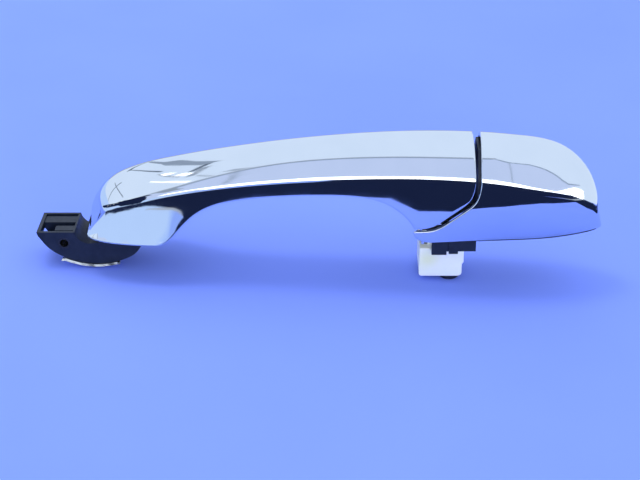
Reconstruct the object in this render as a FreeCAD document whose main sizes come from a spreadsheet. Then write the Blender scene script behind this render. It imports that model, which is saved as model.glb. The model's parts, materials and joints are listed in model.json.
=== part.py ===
"""Exterior car door handle: a chrome pull on a hinge arm, and the fixed chrome end cap behind it.

Millimetres. The origin is the centre of the hinge bore, which lies in the plane of the door skin (z = 0).
+X runs along the handle from the hinge to the cap, +Z points out of the door, and Y is across the handle.
"""
import FreeCAD, Part

import math
import os

import Sketcher

from FreeCAD import Vector

# ---------------------------------------------------------------- driving dimensions

DIMENSIONS = {
    # chrome envelope
    "front_tip": 4.2,
    "rear_tip": 230.0,
    "shell_wall": 2.4,
    "liner_wall": 2.8,
    "liner_play": 0.15,
    "gap_top": 2.0,
    "gap_lip": 1.1,
    # hinge arm
    "arm_width": 18.4,
    "arm_neck": 13.0,
    "hinge_x": -7.5,
    "hinge_z": -4.4,
    "bush_bore": 1.9,
    "bush_outer": 2.7,
    "spring_width": 21.2,
    "spring_gauge": 0.6,
    # core beam and rear leg
    "beam_width": 11.0,
    "leg_width": 8.0,
    "leg_length": 5.0,
    "leg_left": 151.5,
    "leg_foot": -22.5,
    "leg_eye": 2.0,
    "shoe_high": 6.0,
    "shoe_thick": 0.5,
    "leg_eye_height": -12.0,
    # cap underside
    "base_plate": 2.4,
    "tab_thickness": 2.4,
    "tab_face": -12.4,
    "block_left": 148.8,
    "block_long": 19.8,
    "block_top": -0.8,
    "block_bottom": -21.4,
    "block_near": -9.0,
    "block_wide": 18.0,
    # fasteners
    "tapping_radius": 1.5,
    "tapping_head": 3.0,
    "small_head": 2.4,
    "block_screw": 2.0,
    "block_head": 4.6,
    "clamp_radius": 2.5,
    "clamp_head": 4.2,
    "clamp_long": 5.6,
    "clamp_height": -11.5,
    "clamp_side": 3.6,
    "clamp_bore": 2.55,
    "cam_bore": 2.5,
    "cam_thick": 2.6,
    "cam_hub": 3.4,
    "cam_tip": 2.6,
    "cam_reach": 4.9,
    "rivet_radius": 1.2,
    "rivet_long": 7.0,
    "rivet_head": 2.4,
    "rivet_head_high": 0.9,
    "gasket_thick": 0.8,
}

doc = FreeCAD.newDocument("door_handle")
sheet = doc.addObject("Spreadsheet::Sheet", "dims")
for row, (alias, value) in enumerate(DIMENSIONS.items(), start=1):
    sheet.set(f"A{row}", alias)
    sheet.set(f"B{row}", str(value))
    sheet.setAlias(f"B{row}", alias)
doc.recompute()


def size(alias):
    """A driving dimension as the spreadsheet holds it."""
    return float(sheet.get(alias))


# ---------------------------------------------------------------- envelope of the chrome


def natural_spline(points):
    """Natural cubic spline through (x, y) points, as a function of x."""
    n = len(points)
    x = [p[0] for p in points]
    y = [p[1] for p in points]
    h = [x[i + 1] - x[i] for i in range(n - 1)]
    lower, diagonal, upper, right = [0.0] * n, [1.0] * n, [0.0] * n, [0.0] * n
    for i in range(1, n - 1):
        lower[i], diagonal[i], upper[i] = h[i - 1], 2 * (h[i - 1] + h[i]), h[i]
        right[i] = 6 * ((y[i + 1] - y[i]) / h[i] - (y[i] - y[i - 1]) / h[i - 1])
    for i in range(1, n):
        factor = lower[i] / diagonal[i - 1]
        diagonal[i] -= factor * upper[i - 1]
        right[i] -= factor * right[i - 1]
    bend = [0.0] * n
    for i in range(n - 2, -1, -1):
        bend[i] = (right[i] - upper[i] * bend[i + 1]) / diagonal[i]

    def value(t):
        i = 0
        while i < n - 2 and t > x[i + 1]:
            i += 1
        u = t - x[i]
        slope = (y[i + 1] - y[i]) / h[i] - h[i] * (2 * bend[i] + bend[i + 1]) / 6
        return y[i] + u * (slope + u * (bend[i] / 2 + u * (bend[i + 1] - bend[i]) / (6 * h[i])))

    return value


FRONT = size("front_tip")
REAR = size("rear_tip")
# Half-width at the crease, height of the crease, rise of the crown above it, and flare of the side down to the door.
crease_width = natural_spline([(FRONT, 14.5), (35, 14.0), (80, 13.0), (130, 14.2), (175, 15.0), (205, 14.0),
                               (REAR, 11.0)])
crease_height = natural_spline([(FRONT, 7.0), (10, 12.2), (20, 17.2), (37, 21.6), (75, 26.6), (120, 29.5),
                                (160, 29.9),
                                (190, 26.7), (205, 22.6), (218, 16.8), (226, 10.8), (REAR, 5.8)])
crown_rise = natural_spline([(FRONT, 14.0), (12, 12.6), (25, 11.0), (50, 11.2), (90, 13.6), (140, 15.3), (180, 16.3),
                             (200, 18.6), (215, 22.2), (REAR, 24.0)])
side_flare = natural_spline([(FRONT, 2.0), (40, 2.8), (120, 3.4), (180, 3.4), (REAR, 1.5)])


def nose(distance, length, power, root):
    """Blunt rounding from 0 at a tip to 1 at the given length from it."""
    if distance >= length:
        return 1.0
    return (1 - (1 - max(distance, 0.0) / length) ** power) ** (1 / root)


def tail(x):
    return nose(REAR - x, 38, 2.2, 2.3)


def half_width(x):
    return crease_width(x) * nose(x - FRONT, 26, 2.2, 2.0) * tail(x)


def rise(x):
    return crown_rise(x) * nose(x - FRONT, 34, 2.0, 2.2) * nose(REAR - x, 34, 2.0, 2.0)


def barrel(x):
    """How far the side wall is tucked in again towards the door: 0 along the pull, 1 along the cap."""
    u = min(max((x - 130.0) / 60.0, 0.0), 1.0)
    return u * u * (3 - 2 * u)


def flare(x):
    return (side_flare(x) + 2 * barrel(x)) * nose(x - FRONT, 26, 2.2, 2.0) * tail(x)


def sole(x):
    """Half-breadth of the foot on the door. The front foot is wider and blunter than the wall above it."""
    u = min(max((66.0 - x) / 26.0, 0.0), 1.0)
    spread = crease_width(x) + side_flare(x) + 3.4 * u * u * (3 - 2 * u) - 4 * barrel(x)
    return spread * nose(x - FRONT + 2.0, 32, 1.5, 5.0) * tail(x)


def bezier(poles):
    curve = Part.BezierCurve()
    curve.setPoles([Vector(*p) for p in poles])
    return curve.toShape()


def section(x, inset, floor):
    """Closed section of the chrome at x, drawn in by inset, from the floor height up."""
    w = half_width(x) - inset
    b = w + flare(x)
    z = max(crease_height(x) - inset * 0.5, floor + 1.0)
    top = rise(x) - inset * 0.6
    foot = max(sole(x) - inset, 0.8)
    near = bezier([(x, -foot, floor), (x, -b + 0.25 * flare(x), (z + floor) / 2), (x, -w, z)])
    crown = bezier([(x, -w, z), (x, 0, z + 2 * top), (x, w, z)])
    far = bezier([(x, w, z), (x, b - 0.25 * flare(x), (z + floor) / 2), (x, foot, floor)])
    base = Part.makeLine(Vector(x, foot, floor), Vector(x, -foot, floor))
    return Part.Wire([near, crown, far, base])


def envelope(inset, floor=0.0):
    """Solid of the whole chrome form, both pieces together, drawn in by inset."""
    tip_cut = 0.15 if inset == 0 else inset + 0.6
    first, last = FRONT + tip_cut, REAR - tip_cut
    shares = [0, 0.006, 0.02, 0.045, 0.08, 0.14, 0.22, 0.32, 0.44, 0.56, 0.67, 0.76, 0.83, 0.89, 0.935, 0.965,
              0.985, 1]
    wires = [section(first + (last - first) * share, inset, floor) for share in shares]
    return Part.makeLoft(wires, True, False)


# Underside of the grip, from the front foot over the finger space to the lip of the cap.
ARCH = [(33.0, -2.0), (35.6, 0.1), (39.6, 2.0), (43.0, 5.3), (46.8, 9.2), (52.4, 13.6), (60.5, 17.3), (71.2, 19.5),
        (84.0, 20.9), (99.0, 21.7), (114.0, 21.9), (126.7, 20.7), (135.2, 17.8), (142.2, 12.4), (145.7, 7.4),
        (147.6, 3.1), (150.4, 0.3), (154.0, -2.0)]
# Rear edge of the pull: straight down the back, then forward under it.
PULL_EDGE = [(172.1, 30.5), (171.8, 27.4), (171.1, 23.4), (169.6, 20.2), (166.5, 17.2), (162.9, 14.4), (158.8, 11.2),
             (155.3, 8.7), (151.8, 7.3), (147.6, 6.9), (143.0, 6.9)]
HIGH, LOW, WIDE = 90.0, -40.0, 40.0


def spline_edge(points):
    curve = Part.BSplineCurve()
    curve.interpolate([Vector(x, 0, z) for x, z in points])
    return curve.toShape()


def offset_points(points, distance):
    """Points moved sideways, to the left of the direction of travel for a positive distance."""
    moved = []
    for i, (x, z) in enumerate(points):
        before, after = points[max(i - 1, 0)], points[min(i + 1, len(points) - 1)]
        dx, dz = after[0] - before[0], after[1] - before[1]
        length = math.hypot(dx, dz)
        moved.append((x - dz / length * distance, z + dx / length * distance))
    return moved


def extruded(wire_edges, half):
    """Solid from a closed outline in the XZ plane, extruded to both sides of it."""
    face = Part.Face(Part.Wire(wire_edges))
    face.translate(Vector(0, -half, 0))
    return face.extrude(Vector(0, 2 * half, 0))


def polyline(points):
    return [Part.makeLine(Vector(a[0], 0, a[1]), Vector(b[0], 0, b[1])) for a, b in zip(points, points[1:])]


def under_arch(clearance):
    """Space under the arch, grown by clearance."""
    points = offset_points(ARCH, clearance)
    down = [points[-1], (points[-1][0], LOW), (points[0][0], LOW), points[0]]
    return extruded([spline_edge(points)] + polyline(down), WIDE)


def behind_pull(shift_x, shift_z):
    """Space behind and below the rear edge of the pull, moved by the shift."""
    points = [(x + shift_x, z + shift_z) for x, z in PULL_EDGE]
    start, end = points[0], points[-1]
    round_trip = [end, (end[0] - 30, end[1]), (end[0] - 30, LOW), (REAR + 30, LOW), (REAR + 30, HIGH),
                  (start[0], HIGH), start]
    return extruded([spline_edge(points)] + polyline(round_trip), WIDE)


def box(x, y, z):
    """Box from three (low, high) pairs."""
    return Part.makeBox(x[1] - x[0], y[1] - y[0], z[1] - z[0], Vector(x[0], y[0], z[0]))


def rod(radius, start, end):
    start, end = Vector(*start), Vector(*end)
    return Part.makeCylinder(radius, (end - start).Length, start, end - start)


# ---------------------------------------------------------------- document helpers


def feature(label, shape):
    """A sub-part whose shape is set directly."""
    made = doc.addObject("Part::Feature", label)
    made.Label = label
    made.Shape = shape
    made.Placement = FreeCAD.Placement()
    return node(made)


def origin_plane(body, role):
    return next(f for f in body.Origin.OriginFeatures if f.Role == role)


def side_profile(label, edges, width, holes=()):
    """Body padded symmetrically about the XZ plane from an outline of lines and arcs.

    width names the cell that holds its thickness. holes are (x, z, cell) circles through it."""
    body = doc.addObject("PartDesign::Body", label)
    body.Label = label
    sketch = body.newObject("Sketcher::SketchObject", f"{label}_outline")
    sketch.AttachmentSupport = [(origin_plane(body, "XZ_Plane"), "")]
    sketch.MapMode = "FlatFace"
    for edge in edges:
        sketch.addGeometry(edge, False)
    for x, z, cell in holes:
        circle = sketch.addGeometry(Part.Circle(Vector(x, z, 0), Vector(0, 0, 1), size(cell)), False)
        radius = sketch.addConstraint(Sketcher.Constraint("Radius", circle, size(cell)))
        sketch.setExpression(f"Constraints[{radius}]", f"dims.{cell}")
    pad = body.newObject("PartDesign::Pad", f"{label}_pad")
    pad.Profile = sketch
    pad.setExpression("Length", f"dims.{width}")
    pad.Midplane = True
    return node(body)


def segment(a, b):
    return Part.LineSegment(Vector(a[0], a[1], 0), Vector(b[0], b[1], 0))


def chain(*points):
    """Closed outline for a sketch. A point is (x, z), or (x, z, x, z) for an arc via the first pair."""
    edges = []
    here = points[0][-2:]
    for point in points[1:] + (points[0],):
        if len(point) == 4:
            edges.append(Part.Arc(Vector(*here, 0), Vector(point[0], point[1], 0), Vector(point[2], point[3], 0)))
        else:
            edges.append(segment(here, point))
        here = point[-2:]
    return edges


def top_pocket(body, name, x, y, top, depth):
    """Rectangular pocket cut downwards from the height top."""
    doc.recompute()
    sketch = body.newObject("Sketcher::SketchObject", f"{name}_outline")
    sketch.AttachmentSupport = [(origin_plane(body, "XY_Plane"), "")]
    sketch.MapMode = "FlatFace"
    sketch.AttachmentOffset = FreeCAD.Placement(Vector(0, 0, top), FreeCAD.Rotation())
    for edge in chain((x[0], y[0]), (x[1], y[0]), (x[1], y[1]), (x[0], y[1])):
        sketch.addGeometry(edge, False)
    cut = body.newObject("PartDesign::Pocket", name)
    cut.Profile = sketch
    cut.Length = depth


def screws(label, places, length, radius="tapping_radius", head="tapping_head", axis=(0, 0, 1), high=1.6,
           tip=1.0):
    """Node of identical screws. places are the undersides of the heads; the shank runs along axis."""
    r, big = size(radius), size(head)
    turn = FreeCAD.Rotation(Vector(0, 0, 1), Vector(*axis))
    made = []
    for place in places:
        cap = Part.makeCylinder(big, high, Vector(0, 0, -high))
        cap = cap.makeFillet(0.5, [edge for edge in cap.Edges if edge.CenterOfMass.z < -high + 0.01])
        shank = Part.makeCylinder(r, length)
        point = Part.makeCone(r, r * (1 - 0.6 * tip), r * tip, Vector(0, 0, length))
        arm = r * 0.95
        cross = [Part.makeBox(2 * arm, 0.8, 0.9, Vector(-arm, -0.4, -high)),
                 Part.makeBox(0.8, 2 * arm, 0.9, Vector(-0.4, -arm, -high))]
        screw = shank.fuse([cap, point]).cut(cross).removeSplitter()
        screw.Placement = FreeCAD.Placement(Vector(*place), turn)
        made.append(screw)
    return feature(label, Part.makeCompound(made))


def cylinder(label, radius, height, place, axis):
    """Part primitive driven by two cells."""
    made = doc.addObject("Part::Cylinder", label)
    made.setExpression("Radius", f"dims.{radius}")
    made.setExpression("Height", f"dims.{height}")
    made.Placement = FreeCAD.Placement(Vector(*place), FreeCAD.Rotation(Vector(0, 0, 1), Vector(*axis)))
    return made


def joined(label, base, tool):
    made = doc.addObject("Part::Fuse", label)
    made.Label = label
    made.Base, made.Tool = base, tool
    return node(made)


def node(made):
    """Marks a sub-part for export."""
    NODES.append(made)
    return made


NODES = []

# ---------------------------------------------------------------- chrome shells and their liner

WALL = size("shell_wall")
whole = envelope(0)
inside = envelope(WALL, floor=-3.0)
arch_space = under_arch(0)

pull_block = whole.cut(behind_pull(0, 0)).cut(arch_space)
pull_hollow = inside.cut(behind_pull(-WALL, WALL))
shell = pull_block.cut(pull_hollow)
leg_slot = box((size("leg_left") - 1.2, size("leg_left") + size("leg_length") + 1.2), (-5.2, 5.2), (0, 18))
arm_passage = box((11.8, 27.2), (-6.7, 6.7), (-1, 1.0))
BUMPERS = [(148.2, -8.0), (148.2, 8.0)]
bumper_seats = [rod(1.35, (x, y, 6.2), (x - 0.6, y, 8.6)) for x, y in BUMPERS]
pull_shape = shell.cut([leg_slot, arm_passage] + bumper_seats)
feature("pull_outer_shell", pull_shape)

lip_x, lip_z = size("gap_top"), -size("gap_lip")
cap_space = behind_pull(lip_x, lip_z)
cap_block = whole.common(cap_space).cut(arch_space)
cap_hollow = inside.common(behind_pull(lip_x + WALL, lip_z - WALL)).cut(under_arch(WALL))
cap_slot = box((size("leg_left") - 1.6, size("leg_left") + size("leg_length") + 2.4), (-5.6, 5.6), (-1, 14))
cap = cap_block.cut(cap_hollow).cut(cap_slot)
CAP_SCREWS = [(190.0, 0.0), (212.0, 0.0)]
for x, y in CAP_SCREWS:
    boss = rod(3.6, (x, y, size("base_plate") + 0.05), (x, y, HIGH)).common(envelope(0.6))
    cap = cap.fuse(boss).cut(rod(size("tapping_radius") + 0.1, (x, y, 0), (x, y, 16)))
tab_notch = box((153.0, 156.0), (size("tab_face") - 0.3, size("tab_face") + size("tab_thickness") + 0.3), (-1, 1.1))
feature("cap_shell", cap.cut(tab_notch))

liner_strip = under_arch(size("liner_wall")).cut(arch_space)
liner_form = envelope(WALL + size("liner_play"), floor=-3.0).cut(behind_pull(-WALL - 0.3, WALL + 0.3))
liner = liner_form.common(liner_strip).common(box((40.0, 146.0), (-WIDE, WIDE), (1.2, HIGH)))
LINER_SCREWS = [(68.0, 0, 21.2), (128.0, 0, 22.2)]
for x, y, z in LINER_SCREWS:
    liner = liner.cut(rod(size("tapping_head") + 0.3, (x, y, z - 4), (x, y, z + 0.1)))
    liner = liner.cut(rod(size("tapping_radius") + 0.2, (x, y, z - 1), (x, y, z + 6)))
feature("grip_liner", liner)

# ---------------------------------------------------------------- hinge arm at the front

HINGE = (size("hinge_x"), size("hinge_z"))
BELLY = ((21.6, -10.9), (7.0, -14.8), (-9.0, -10.8))
ARM_OUTLINE = chain(
    (-19.2, 1.0), (-2.6, 1.0), (-0.3, -3.0, 3.6, -4.6), (7.6, -4.2), (10.2, -0.9), (27.6, -0.9),
    (26.0, -6.2, *BELLY[0]), (*BELLY[1], *BELLY[2]), (-13.2, -8.0, -16.4, -4.4), (-18.8, -0.6),
)
hinge_arm = side_profile("hinge_arm", ARM_OUTLINE, "arm_width", holes=[(*HINGE, "bush_outer")])
neck = hinge_arm.newObject("Sketcher::SketchObject", "arm_neck_outline")
neck.AttachmentSupport = [(origin_plane(hinge_arm, "XZ_Plane"), "")]
neck.MapMode = "FlatFace"
for edge in chain((12.0, -2.0), (12.0, 1.0), (27.0, 1.0), (27.0, -2.0)):
    neck.addGeometry(edge, False)
neck_pad = hinge_arm.newObject("PartDesign::Pad", "arm_neck_pad")
neck_pad.Profile = neck
neck_pad.setExpression("Length", "dims.arm_neck")
neck_pad.Midplane = True

# Cored-out end of the arm: recesses open to the top, with a bar and a lug left standing between them.
STUB_TOP = 1.0
for number, (x, y, depth) in enumerate([
    ((-17.7, -3.4), (-7.9, 8.0), 0.6),
    ((-17.7, -11.8), (-7.9, 1.2), 5.0),
    ((-11.8, -3.4), (-2.0, 1.2), 2.0),
    ((-11.8, -3.4), (-7.9, -6.2), 2.0),
    ((-17.7, -3.4), (6.9, 8.0), 2.2),
], start=1):
    top_pocket(hinge_arm, f"stub_recess_{number}", x, y, STUB_TOP, depth)
ARM_SCREWS = [(14.0, 0, 3.6), (22.0, 0, 3.6)]
arm_holes = hinge_arm.newObject("Sketcher::SketchObject", "arm_screw_holes")
arm_holes.AttachmentSupport = [(origin_plane(hinge_arm, "XY_Plane"), "")]
arm_holes.MapMode = "FlatFace"
arm_holes.AttachmentOffset = FreeCAD.Placement(Vector(0, 0, 1.0), FreeCAD.Rotation())
for x, y, _ in ARM_SCREWS:
    arm_holes.addGeometry(Part.Circle(Vector(x, y, 0), Vector(0, 0, 1), size("tapping_radius") + 0.1), False)
drilled = hinge_arm.newObject("PartDesign::Pocket", "arm_drilling")
drilled.Profile = arm_holes
drilled.Length = 8.0
screws("arm_screws", ARM_SCREWS, 8.5, axis=(0, 0, -1))

side_profile("hinge_bush", [Part.Circle(Vector(*HINGE, 0), Vector(0, 0, 1), size("bush_outer") - 0.02)], "arm_width",
             holes=[(*HINGE, "bush_bore")])

# Plate inside the front foot. The arm hangs below it and the core beam stands on it.
BEAM_SCREWS = [(31.5, -3.2, 1.0), (31.5, 3.2, 1.0)]
plate = envelope(WALL + 0.2, floor=-3.0).common(box((FRONT, 37.4), (-WIDE, WIDE), (1.0, 3.6)))
plate = plate.cut(under_arch(size("liner_wall") + 0.4))
for x, y, z in ARM_SCREWS + BEAM_SCREWS:
    plate = plate.cut(rod(size("tapping_radius") + 0.1, (x, y, 0), (x, y, 5)))
feature("foot_plate", plate)
screws("beam_screws", BEAM_SCREWS, 9.0)

# Leaf spring along the belly of the arm.


def belly_arc(distance):
    """Three points of the arm's belly arc, moved outward by distance."""
    turn = Part.Arc(*[Vector(*point, 0) for point in BELLY]).toShape()
    moved = []
    for share in (0.16, 0.5, 0.97):
        at = turn.valueAt(turn.FirstParameter + share * (turn.LastParameter - turn.FirstParameter))
        out = (at - turn.Curve.Center).normalize()
        moved.append((at.x + out.x * distance, at.y + out.y * distance))
    if moved[0][0] < moved[2][0]:
        moved.reverse()
    return moved


right, middle, left = belly_arc(0.05)
low_right, low_middle, low_left = belly_arc(0.05 + size("spring_gauge"))
curl = (low_right[0] + 1.1, low_right[1] - 0.3)
SPRING_OUTLINE = chain(
    right, (*middle, *left), (left[0] - 0.9, left[1] - 0.5), (low_left[0] - 1.1, low_left[1] - 0.35), low_left,
    (*low_middle, *low_right), curl, (right[0] + 1.2, right[1] + 0.25),
)
spring = side_profile("anti_rattle_spring", SPRING_OUTLINE, "spring_width")
pin = cylinder("spring_rivet_shank", "rivet_radius", "rivet_long", (6.0, 0, -15.6), (0, 0, 1))
button = cylinder("spring_rivet_button", "rivet_head", "rivet_head_high", (6.0, 0, -16.4), (0, 0, 1))
joined("spring_rivet", pin, button)

# ---------------------------------------------------------------- core beam and rear leg

BEAM_OUTLINE = chain(
    (26.0, 3.6), (33.8, 3.6), (39.0, 10.6), (45.5, 17.0), (56.0, 21.8), (71.0, 24.2), (84.0, 25.6), (114.0, 26.4),
    (127.0, 25.0), (137.0, 21.8), (143.0, 16.8), (158.0, 16.8), (158.0, 24.0), (140.0, 28.0), (120.0, 31.0),
    (90.0, 31.0), (60.0, 28.5), (44.0, 24.0), (34.0, 18.0), (26.0, 14.0),
)
side_profile("core_beam", BEAM_OUTLINE, "beam_width")
left, long, foot = size("leg_left"), size("leg_length"), size("leg_foot")
LEG_OUTLINE = chain(
    (left, foot + 1.5), (left + 1.5, foot), (left + long - 1.5, foot), (left + long, foot + 1.5),
    (left + long, 16.8), (144.8, 16.8), (144.8, 14.2), (left, 14.2),
)
side_profile("pull_leg", LEG_OUTLINE, "leg_width", holes=[(left + long / 2, size("leg_eye_height"), "leg_eye")])
LEG_SCREWS = [(147.8, -2.9, 14.2), (147.8, 2.9, 14.2)]
screws("leg_screws", LEG_SCREWS, 8.0, head="small_head")
screws("liner_screws", LINER_SCREWS, 8.0)

# Slide pads on both sides of the leg.
half_leg, high = size("leg_width") / 2, size("shoe_high")
pads = []
for side in (-1, 1):
    y = sorted((side * half_leg, side * (half_leg + size("shoe_thick"))))
    pads.append(box((left + 0.3, left + long - 0.3), y, (foot + 1.6, foot + 1.6 + high)))
pins = [rod(1.0, (left + long / 2, -half_leg, foot + 4.6), (left + long / 2, half_leg, foot + 4.6))]
feature("leg_wear_pads", pads[0].fuse(pads[1:] + pins).removeSplitter())

# Rubber stops under the rear of the pull.
bumpers = []
for x, y in BUMPERS:
    stem = rod(1.3, (x, y, 6.5), (x - 0.6, y, 8.5))
    bumpers.append(stem.fuse(rod(2.1, (x, y, 6.1), (x, y, 6.85))).cut(pull_shape))
feature("rear_bumpers", Part.makeCompound([b.Solids[0] for b in bumpers]))

# ---------------------------------------------------------------- parts under the cap

slot_left, slot_right, slot_half = left - 1.6, left + long + 2.4, 5.6
base = envelope(WALL + 0.35, floor=-3.0).common(box((150.0, REAR), (-WIDE, WIDE), (0, size("base_plate"))))
base = base.cut(under_arch(WALL + 0.3))
BLOCK_SCREW = (162.5, -3.6)
face, tab = size("tab_face"), size("tab_thickness")
base = base.fuse([
    rod(3.0, (*BLOCK_SCREW, 0.5), (*BLOCK_SCREW, 5.0)),
    box((154.0, 160.5), (face, face + tab), (-8.5, 1.0)),
    box((160.0, 173.3), (face, face + tab), (-6.7, 1.0)),
    box((161.5, 165.5), (face - 0.7, face + 1.0), (-7.6, -1.5)),
]).removeSplitter()
base = base.cut(box((slot_left, slot_right + 1.4), (-slot_half, slot_half), (-1, 3)))
for x, y in CAP_SCREWS:
    base = base.cut(rod(size("tapping_radius") + 0.1, (x, y, -1), (x, y, 4)))
base = base.cut(rod(size("block_screw") + 0.1, (*BLOCK_SCREW, -1), (*BLOCK_SCREW, 8)))
feature("cap_base", base)
screws("cap_screws", [(x, y, 0) for x, y in CAP_SCREWS], 11.0)

seal = box((slot_left + 0.1, slot_right + 1.35), (-slot_half + 0.05, slot_half - 0.05), (0, size("base_plate")))
opening = half_leg + size("shoe_thick") + 0.25
seal = seal.cut(box((left - 0.3, slot_right - 0.1), (-opening, opening), (-1, 4)))
feature("leg_seal", seal)


def gasket(label, x_from, x_to, bar_from, bar_to, openings):
    """Foam ring under a chrome foot, closed by a bar towards the finger space."""
    high = (-size("gasket_thick"), 0)
    outer = envelope(1.0, floor=-3.0).common(box((x_from, x_to), (-WIDE, WIDE), high))
    inner = envelope(3.8, floor=-3.0).cut(box((bar_from, bar_to), (-WIDE, WIDE), (-9, 9)))
    inner = inner.common(box((x_from, x_to), (-WIDE, WIDE), (-3, 3)))
    return feature(label, outer.cut([inner] + openings))


gasket("front_gasket", 15.0, 37.6, 34.9, 37.6, [box((0, 27.9), (-9.5, 9.5), (-3, 3))])
gasket("cap_gasket", 151.4, REAR, 151.4, 153.8,
       [box((150, 170), (-9.4, 9.4), (-3, 3)), box((153.7, 173.6), (face - 1.0, face + tab + 0.3), (-3, 3))])

block_left, block_right = size("block_left"), size("block_left") + size("block_long")
low, top, near = size("block_bottom"), size("block_top"), size("block_near")
BLOCK_OUTLINE = chain(
    (block_left + 0.8, low), (block_right - 2.6, low),
    (block_right - 1.26, low + 0.56, block_right - 0.7, low + 1.9),
    (block_right - 0.7, -15.0), (block_right, -14.6), (block_right, top), (152.5, top), (152.5, -7.0),
    (block_left, -7.0), (block_left, low + 0.8),
)
side_profile("block_form", BLOCK_OUTLINE, "block_wide")
NODES.pop()
doc.recompute()
block = doc.getObject("block_form").Shape
height, side = size("clamp_height"), size("clamp_side")
cam_left = 160.1
cam_space = size("cam_hub") + 0.3
cam_drop = size("cam_reach") + size("cam_tip") + 0.4
for cut_out in (
    box((block_left - 1, 160.0), (near - 1, -6.0), (-7.0, 0)),
    box((160.0, block_right + 1), (near - 1, -6.0), (-8.4, 0)),
    box((149.9, 159.0), (-4.8, 10), (-30, 0)),
    box((cam_left, cam_left + size("cam_thick") + 0.15), (side - cam_space, 10),
        (height - cam_drop, height + cam_space)),
    rod(size("clamp_bore"), (159.2, side, height), (170, side, height)),
    rod(size("clamp_head") + 0.1, (block_right - 2.6, side, height), (170, side, height)),
    rod(size("block_screw") + 0.1, (*BLOCK_SCREW, -30), (*BLOCK_SCREW, 5)),
):
    block = block.cut(cut_out)
feature("retainer_block", block)
screws("block_screw", [(*BLOCK_SCREW, low)], 25.0, radius="block_screw", head="block_head", high=2.2)
screws("cam_screw", [(block_right - 2.6, side, height)], size("clamp_long"), radius="clamp_radius",
       head="clamp_head", axis=(-1, 0, 0), high=2.2, tip=0.3)

# Quarter-turn cam on the screw. At rest its lobe points down, inside the block.
cam_face = cam_left + 0.08
hub = cylinder("cam_hub_disc", "cam_hub", "cam_thick", (cam_face, side, height), (1, 0, 0))
tip = cylinder("cam_tip_disc", "cam_tip", "cam_thick", (cam_face, side, height - size("cam_reach")), (1, 0, 0))
web = doc.addObject("Part::Box", "cam_web")
web.setExpression("Length", "dims.cam_thick")
web.setExpression("Width", "2 * dims.cam_tip")
web.setExpression("Height", "dims.cam_reach")
web.Placement.Base = Vector(cam_face, side - size("cam_tip"), height - size("cam_reach"))
lobe = doc.addObject("Part::MultiFuse", "cam_lobe")
lobe.Shapes = [hub, tip, web]
eye = cylinder("cam_eye", "cam_bore", "cam_reach", (cam_face - 1, side, height), (1, 0, 0))
cam = doc.addObject("Part::Cut", "lock_cam")
cam.Label = "lock_cam"
cam.Base, cam.Tool = lobe, eye
node(cam)

# ---------------------------------------------------------------- checks and export

# The drawing above has x = 0 under the front tip and z = 0 on the door skin. The frame's origin is the hinge bore.
for made in NODES:
    made.Placement.Base = Vector(-HINGE[0], 0, -HINGE[1])
doc.recompute()
for made in doc.Objects:
    if "Invalid" in made.State or "Error" in made.State:
        raise RuntimeError(f"{made.Label} is {made.State}")
os.makedirs("parts", exist_ok=True)
for made in NODES:
    if made.Shape.isNull() or not made.Shape.isValid() or not made.Shape.Solids:
        raise RuntimeError(f"{made.Label} has a bad shape")
    made.Shape.exportStep(f"parts/{made.Label}.step")
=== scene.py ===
import json
import math

import bmesh
import bpy
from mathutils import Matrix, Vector


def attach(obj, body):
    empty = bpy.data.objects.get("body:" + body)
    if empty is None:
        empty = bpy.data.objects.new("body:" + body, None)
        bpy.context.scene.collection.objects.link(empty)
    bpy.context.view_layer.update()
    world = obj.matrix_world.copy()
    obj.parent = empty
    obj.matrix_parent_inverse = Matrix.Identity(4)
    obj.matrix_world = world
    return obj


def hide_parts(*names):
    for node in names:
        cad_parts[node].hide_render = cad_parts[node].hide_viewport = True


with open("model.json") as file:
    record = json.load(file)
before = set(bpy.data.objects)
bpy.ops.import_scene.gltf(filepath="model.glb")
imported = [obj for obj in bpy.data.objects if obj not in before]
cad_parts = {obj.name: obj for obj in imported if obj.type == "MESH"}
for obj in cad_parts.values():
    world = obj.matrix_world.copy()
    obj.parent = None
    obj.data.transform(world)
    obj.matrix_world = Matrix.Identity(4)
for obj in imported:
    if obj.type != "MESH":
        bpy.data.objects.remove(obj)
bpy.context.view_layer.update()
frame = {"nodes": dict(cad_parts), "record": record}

MM = 0.001
nodes = frame["nodes"]
SLOTS = {part["node"]: part["material_slot"] for part in frame["record"]["subparts"]}
# Shapes below are drawn with x = 0 just in front of the front foot and z = 0 on the door skin. This moves
# them into the frame, whose origin is the hinge bore.
SHIFT = Vector((7.5, 0.0, 4.4))

# ---------------------------------------------------------------- form of the chrome, in millimetres


def natural_spline(points):
    """Natural cubic spline through (x, y) points, as a function of x."""
    n = len(points)
    x = [p[0] for p in points]
    y = [p[1] for p in points]
    h = [x[i + 1] - x[i] for i in range(n - 1)]
    lower, diagonal, upper, right = [0.0] * n, [1.0] * n, [0.0] * n, [0.0] * n
    for i in range(1, n - 1):
        lower[i], diagonal[i], upper[i] = h[i - 1], 2 * (h[i - 1] + h[i]), h[i]
        right[i] = 6 * ((y[i + 1] - y[i]) / h[i] - (y[i] - y[i - 1]) / h[i - 1])
    for i in range(1, n):
        factor = lower[i] / diagonal[i - 1]
        diagonal[i] -= factor * upper[i - 1]
        right[i] -= factor * right[i - 1]
    bend = [0.0] * n
    for i in range(n - 2, -1, -1):
        bend[i] = (right[i] - upper[i] * bend[i + 1]) / diagonal[i]

    def value(t):
        i = 0
        while i < n - 2 and t > x[i + 1]:
            i += 1
        u = t - x[i]
        slope = (y[i + 1] - y[i]) / h[i] - h[i] * (2 * bend[i] + bend[i + 1]) / 6
        return y[i] + u * (slope + u * (bend[i] / 2 + u * (bend[i + 1] - bend[i]) / (6 * h[i])))

    return value


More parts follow.
